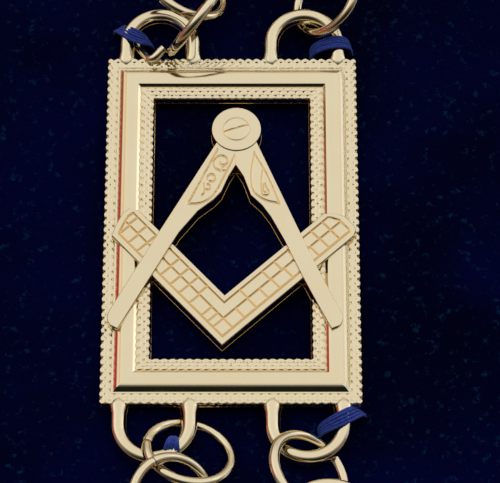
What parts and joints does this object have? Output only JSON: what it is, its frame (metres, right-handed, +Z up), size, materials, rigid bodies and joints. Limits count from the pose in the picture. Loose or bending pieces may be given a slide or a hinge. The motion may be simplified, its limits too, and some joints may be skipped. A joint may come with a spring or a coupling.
{
  "type": "chain of office",
  "caption": "Flat velvet collar that tapers to a front point, with a closed chain of rectangular openwork plates joined by rows of round jump rings sewn onto it.",
  "frame": {"origin": "centre of the collar's bounding box in X and Y, on the surface that it lies on", "axes": "+Y from the front point towards the nape, +Z up out of the velvet's face, +X to the right as the face is looked at with the nape at the top"},
  "size_m": [0.3698, 0.579, 0.0143],
  "materials": {
    "navy_velvet": "deep navy velvet pile",
    "gilt_frame": "polished gilt",
    "gilt_emblem": "polished gilt",
    "gilt_wire": "polished gilt wire"
  },
  "bodies": {
    "root": {"backing": "navy_velvet", "frame_left_1": "gilt_frame", "frame_left_2": "gilt_frame", "frame_left_3": "gilt_frame", "frame_left_4": "gilt_frame", "frame_left_5": "gilt_frame", "frame_left_6": "gilt_frame", "frame_right_1": "gilt_frame", "frame_right_2": "gilt_frame", "frame_right_3": "gilt_frame", "frame_right_4": "gilt_frame", "frame_right_5": "gilt_frame", "frame_right_6": "gilt_frame", "emblem_left_1": "gilt_emblem", "emblem_left_2": "gilt_emblem", "emblem_left_3": "gilt_emblem", "emblem_left_4": "gilt_emblem", "emblem_left_5": "gilt_emblem", "emblem_left_6": "gilt_emblem", "emblem_right_1": "gilt_emblem", "emblem_right_2": "gilt_emblem", "emblem_right_3": "gilt_emblem", "emblem_right_4": "gilt_emblem", "emblem_right_5": "gilt_emblem", "emblem_right_6": "gilt_emblem", "rings_nape_inner": "gilt_wire", "rings_nape_outer": "gilt_wire", "rings_left_1_inner": "gilt_wire", "rings_left_1_outer": "gilt_wire", "rings_left_2_inner": "gilt_wire", "rings_left_2_outer": "gilt_wire", "rings_left_3_inner": "gilt_wire", "rings_left_3_outer": "gilt_wire", "rings_left_4_inner": "gilt_wire", "rings_left_4_outer": "gilt_wire", "rings_left_5_inner": "gilt_wire", "rings_left_5_outer": "gilt_wire", "rings_right_1_inner": "gilt_wire", "rings_right_1_outer": "gilt_wire", "rings_right_2_inner": "gilt_wire", "rings_right_2_outer": "gilt_wire", "rings_right_3_inner": "gilt_wire", "rings_right_3_outer": "gilt_wire", "ring_right_4_inner_1": "gilt_wire", "ring_right_4_inner_2": "gilt_wire", "ring_right_4_inner_3": "gilt_wire", "ring_right_4_outer_1": "gilt_wire", "ring_right_4_outer_2": "gilt_wire", "ring_right_4_outer_3": "gilt_wire", "ring_right_5_inner_1": "gilt_wire", "ring_right_5_inner_2": "gilt_wire", "ring_right_5_inner_3": "gilt_wire", "ring_right_5_outer_1": "gilt_wire", "ring_right_5_outer_2": "gilt_wire", "ring_right_5_outer_3": "gilt_wire", "point_ring": "gilt_wire", "rings_point_left_inner": "gilt_wire", "rings_point_left_outer": "gilt_wire", "rings_point_right_inner": "gilt_wire", "rings_point_right_outer": "gilt_wire"}
  },
  "joints": []
}
